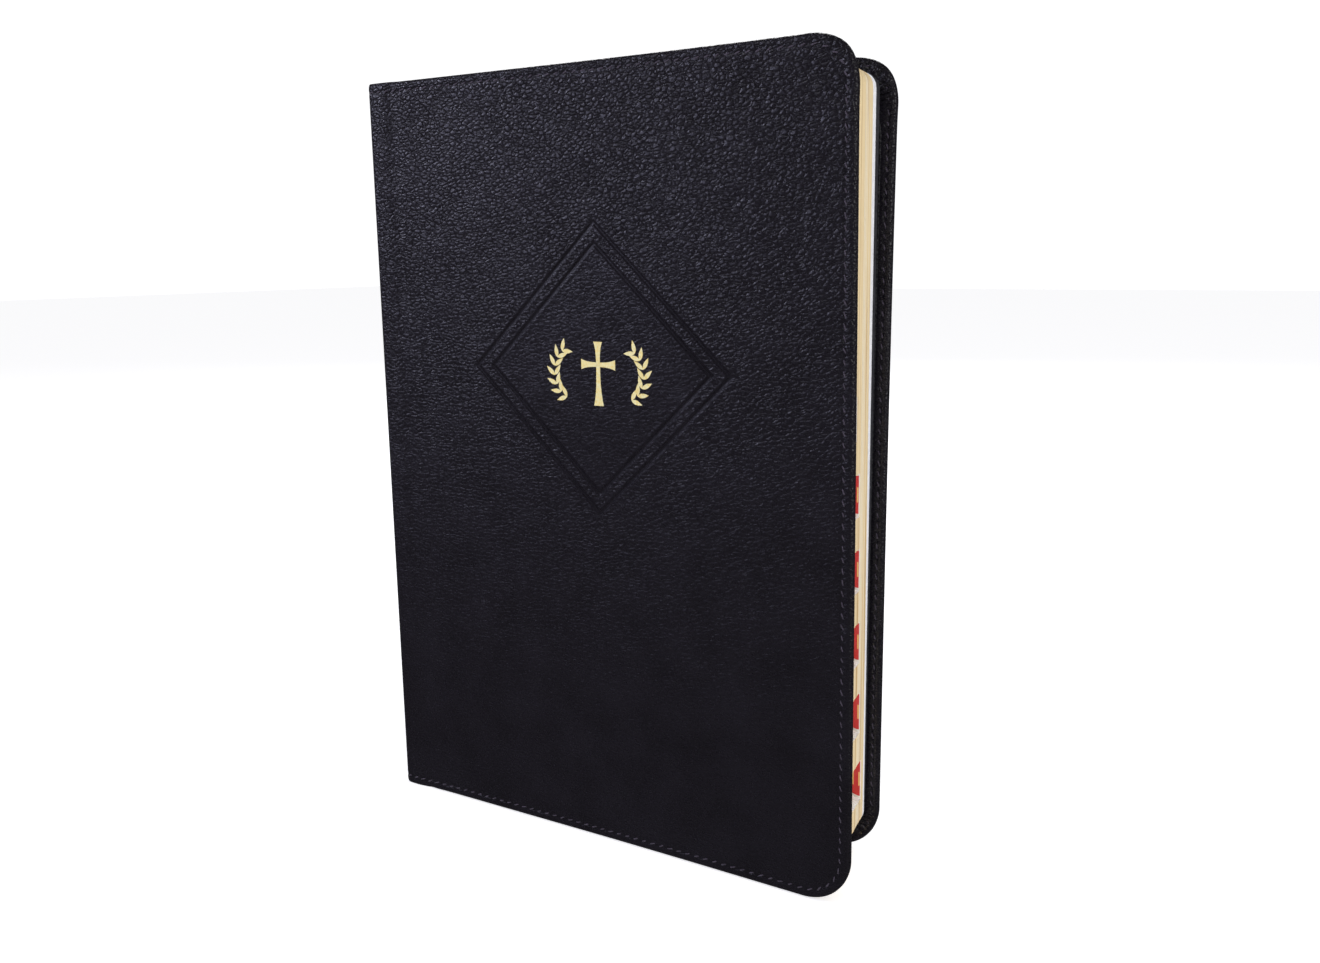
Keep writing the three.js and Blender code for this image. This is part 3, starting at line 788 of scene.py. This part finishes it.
def stacked_edges(name, pale, deep, scale):
    """The trimmed edge of stacked thin paper: fine streaks along the sheets, 0.4 mm apart, drawn
    coarser than the 0.04 mm sheets so that they show, over broader bands of handling."""
    material, shader = new_material(name, pale, 0.75, Specular_IOR_Level=0.25)
    place = add_node(material, "ShaderNodeTexCoord", {}).outputs["Object"]
    sheets = add_node(material, "ShaderNodeMapping", {"Scale": (14, scale, 14), "Vector": place})
    streak = add_node(material, "ShaderNodeTexNoise", {"Scale": 1, "Detail": 3, "Vector": sheets})
    broad = add_node(material, "ShaderNodeMapping", {"Scale": (5, scale / 7, 5), "Vector": place})
    band = add_node(material, "ShaderNodeTexNoise", {"Scale": 1, "Detail": 1, "Vector": broad})
    both = add_node(material, "ShaderNodeMix", {
        "Factor": 0.45, "A": streak, "B": band}, data_type="FLOAT").outputs["Result"]
    set_inputs(material, shader, {
        "Base Color": add_node(material, "ShaderNodeValToRGB", {"Fac": both}, [(0.38, deep), (0.5, pale)]),
        "Normal": add_node(material, "ShaderNodeBump", {
            "Strength": 0.35, "Distance": 0.0001, "Height": streak})})
    return material


cream_edge = stacked_edges("cream_tinted_edge", "#efd8ab", "#b98f58", 2400)
cut_edge = stacked_edges("white_cut_edge", "#fffdfa", "#ebe2d8", 2400)
heights = label_heights()
SECTION_COUNT = 10
for number in range(1, SECTION_COUNT + 1):
    node_name = f"section_{number:02d}"
    joint = joints[f"{node_name}_hinge"]
    low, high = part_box(node_name)
    turn = rest_angle(joint) if number > 5 else 0.0
    hinge_x = joint["pos_m"][0]
    page_width = (high.x - hinge_x) / math.cos(turn) - 0.5 * (high.y - low.y) * math.sin(turn)
    half_thick = ((high.y - low.y) - page_width * math.sin(turn)) / math.cos(turn) / 2
    notches = heights[number - 1:]
    rows = edge_rows(low.z, high.z, notches)
    inset, in_notch = edge_inset(rows, low.z, high.z, notches)
    middle_inset, cut = edge_inset((rows[1:] + rows[:-1]) / 2, low.z, high.z, notches)
    fold_left = np.full(len(rows), FOLD_X - hinge_x + LEAN * (joint["pos_m"][1] - fold_low.y))
    pages, kind, half, width = slab(
        f"{node_name}_pages", joint, fold_left, page_width - inset, rows,
        -half_thick, half_thick)
    finish_slab(pages, kind, [page_face, cream_edge, cut_edge], cut, half, width)
    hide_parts(node_name, *(["page_folds"] if number == 1 else []))
    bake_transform(pages)

# ---- Index labels ------------------------------------------------------------------------
# Half-moon labels of coated red paper, 12 mm tall, stuck in the notches, each with three short
# gold rules where a real one names its books.

RULE_PITCH = 2.1 * MM
RULE_HALF_LENGTH = 2.4 * MM
red_label, red_shader = new_material("red_coated_paper", "#cf2f2b", 0.45)
label_uv = add_node(red_label, "ShaderNodeUVMap", {}, uv_map="page")
label_parts = add_node(red_label, "ShaderNodeSeparateXYZ", {"Vector": label_uv})
wave = add_node(red_label, "ShaderNodeMath", {
    0: label_parts.outputs["X"], 1: RULE_PITCH}, operation="DIVIDE")
wave = add_node(red_label, "ShaderNodeMath", {0: wave}, operation="FRACT")
stroke = add_node(red_label, "ShaderNodeMath", {0: wave, 1: 0.78}, operation="GREATER_THAN")
off = add_node(red_label, "ShaderNodeMath", {0: label_parts.outputs["Y"]}, operation="ABSOLUTE")
near = add_node(red_label, "ShaderNodeMath", {0: off, 1: RULE_HALF_LENGTH}, operation="LESS_THAN")
rule = add_node(red_label, "ShaderNodeMath", {0: stroke, 1: near}, operation="MULTIPLY")
label_mix = add_node(red_label, "ShaderNodeMix", {
    "A": linear("#cf2f2b"), "B": linear("#f0c070"), "Factor": rule}, data_type="RGBA")
set_inputs(red_label, red_shader, {"Base Color": label_mix.outputs["Result"]})
for number in range(1, SECTION_COUNT):
    node_name = f"index_label_{number:02d}"
    owner = f"section_{number + 1:02d}"
    joint = joints[f"{owner}_hinge"]
    low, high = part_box(node_name)
    middle_z = (low.z + high.z) / 2
    half_height = (high.z - low.z) / 2
    turn = rest_angle(joint) if number + 1 > 5 else 0.0
    reach_x = (high.x - joint["pos_m"][0]) / math.cos(turn)
    depth = (low.y + high.y) / 2 - joint["pos_m"][1] - reach_x * math.sin(turn)
    rows = middle_z + half_height * np.sin(np.linspace(-math.pi / 2, math.pi / 2, 21))
    arc = np.sqrt(np.clip(1 - ((rows - middle_z) / half_height) ** 2, 0.0004, 1))
    inner = reach_x - (high.x - low.x) * arc
    label, kind, _, _ = slab(f"{node_name}_tag", joint, inner, np.full(len(rows), reach_x), rows,
                             depth - 0.1 * MM, depth + 0.3 * MM, uv_middle=(reach_x, middle_z))
    finish_slab(label, kind, [red_label])
    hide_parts(node_name)
    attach(label, owner)

# ---- End leaves --------------------------------------------------------------------------
# A black and a white flyleaf of heavier paper at the front and the back, tipped on at the
# folds; the back pair curls away from the pages, most at the head, but less than the cover.

black_paper, black_shader = new_material("black_flyleaf", "#2b2a30", 0.7)
white_paper, white_shader = new_material("white_flyleaf", "#f4f4fb", 0.8)
for material, shader, pair in ((black_paper, black_shader, ("#232227", "#34333a")),
                               (white_paper, white_shader, ("#efeff6", "#fafafe"))):
    place = add_node(material, "ShaderNodeTexCoord", {}).outputs["Object"]
    fibre = add_node(material, "ShaderNodeTexNoise", {"Scale": 600, "Detail": 4, "Vector": place})
    set_inputs(material, shader, {"Base Color": add_node(
        material, "ShaderNodeValToRGB", {"Fac": fibre}, [(0.3, pair[0]), (0.7, pair[1])])})
for node_name, paper, head_curl, tail_curl in (
        ("front_black_leaf", black_paper, -1.0, -0.6), ("front_white_leaf", white_paper, -0.5, -0.3),
        ("back_white_leaf", white_paper, 1.8, 0.0), ("back_black_leaf", black_paper, 4.4, 0.0)):
    joint = joints[f"{node_name}_hinge"]
    low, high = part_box(node_name)
    turn = rest_angle(joint) if "back" in node_name else 0.0
    hinge_x = joint["pos_m"][0]
    page_width = (high.x - hinge_x) / math.cos(turn)
    rows = edge_rows(low.z, high.z, [])
    inset, _ = edge_inset(rows, low.z, high.z, [])
    level = (rows - low.z) / (high.z - low.z)
    curl = (tail_curl + (head_curl - tail_curl) * level) * MM
    start_x = np.full(len(rows), FOLD_X - hinge_x + 1 * MM + LEAN * (joint["pos_m"][1] - fold_low.y))
    leaf, kind, _, _ = slab(f"{node_name}_sheet", joint, start_x, page_width - inset, rows,
                            -0.14 * MM, 0.14 * MM, curl)
    finish_slab(leaf, kind, [paper])
    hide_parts(node_name)
    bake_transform(leaf)

# ---- Spine fittings ----------------------------------------------------------------------
# Head and tail bands of cotton cord wound with two colours, the grey spine card, and the open
# gauze glued down the folds.

band_cloth, band_shader = new_material("striped_headband", "#e8dcc0", 0.85)
band_uv = add_node(band_cloth, "ShaderNodeUVMap", {}, uv_map="wind")
band_wave = add_node(band_cloth, "ShaderNodeTexWave", {"Scale": 95.0, "Distortion": 0.0, "Vector": band_uv})
set_inputs(band_cloth, band_shader, {"Base Color": add_node(
    band_cloth, "ShaderNodeValToRGB", {"Fac": band_wave.outputs["Fac"]},
    [(0.45, "#e9dfc6"), (0.55, "#8a1f22")])})
for node_name in ("head_band", "tail_band"):
    low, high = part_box(node_name)
    middle = (low + high) / 2
    radius = (high.z - low.z) / 2
    length = (high.y - low.y) - 2 * radius * abs(math.sin(math.atan(LEAN)))
    run = np.linspace(0, 1, 121)
    around = np.linspace(0, 2 * math.pi, 17)[:-1]
    ends = np.sqrt(np.clip(1 - (2 * run - 1) ** 16, 0.02, 1))
    rib = radius * ends * (1 - 0.07 * np.cos(run * length / (0.55 * MM) * 2 * math.pi) ** 2)
    y = middle.y + (run - 0.5)[:, None] * length + 0 * around
    x = middle.x + LEAN * (y - middle.y) + rib[:, None] * np.cos(around)
    z = middle.z + rib[:, None] * np.sin(around)
    points = np.stack([x, y, z], -1).reshape(-1, 3)
    band = build_mesh(f"{node_name}_cord", points, grid_faces(121, 16, closed=True))
    _, band_y, band_z = vertex_places(band)
    lay_uv(band, "wind", band_y, band_z)
    band.data.materials.append(band_cloth)
    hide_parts(node_name)
    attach(band, "spine")

gauze, gauze_shader = new_material("cotton_gauze", "#d9d2c2", 0.9)
gauze_place = add_node(gauze, "ShaderNodeTexCoord", {}).outputs["Object"]
gauze_weave = add_node(gauze, "ShaderNodeTexWave", {
    "Scale": 260.0, "Distortion": 0.6, "Vector": gauze_place}, bands_direction="Z")
set_inputs(gauze, gauze_shader, {"Base Color": add_node(
    gauze, "ShaderNodeValToRGB", {"Fac": gauze_weave.outputs["Fac"]},
    [(0.3, "#b9b1a0"), (0.7, "#e4decf")])})
for node_name, material in (("spine_card", card), ("spine_mull", gauze)):
    cad = frame["nodes"][node_name]
    cad.data.materials.clear()
    cad.data.materials.append(material)
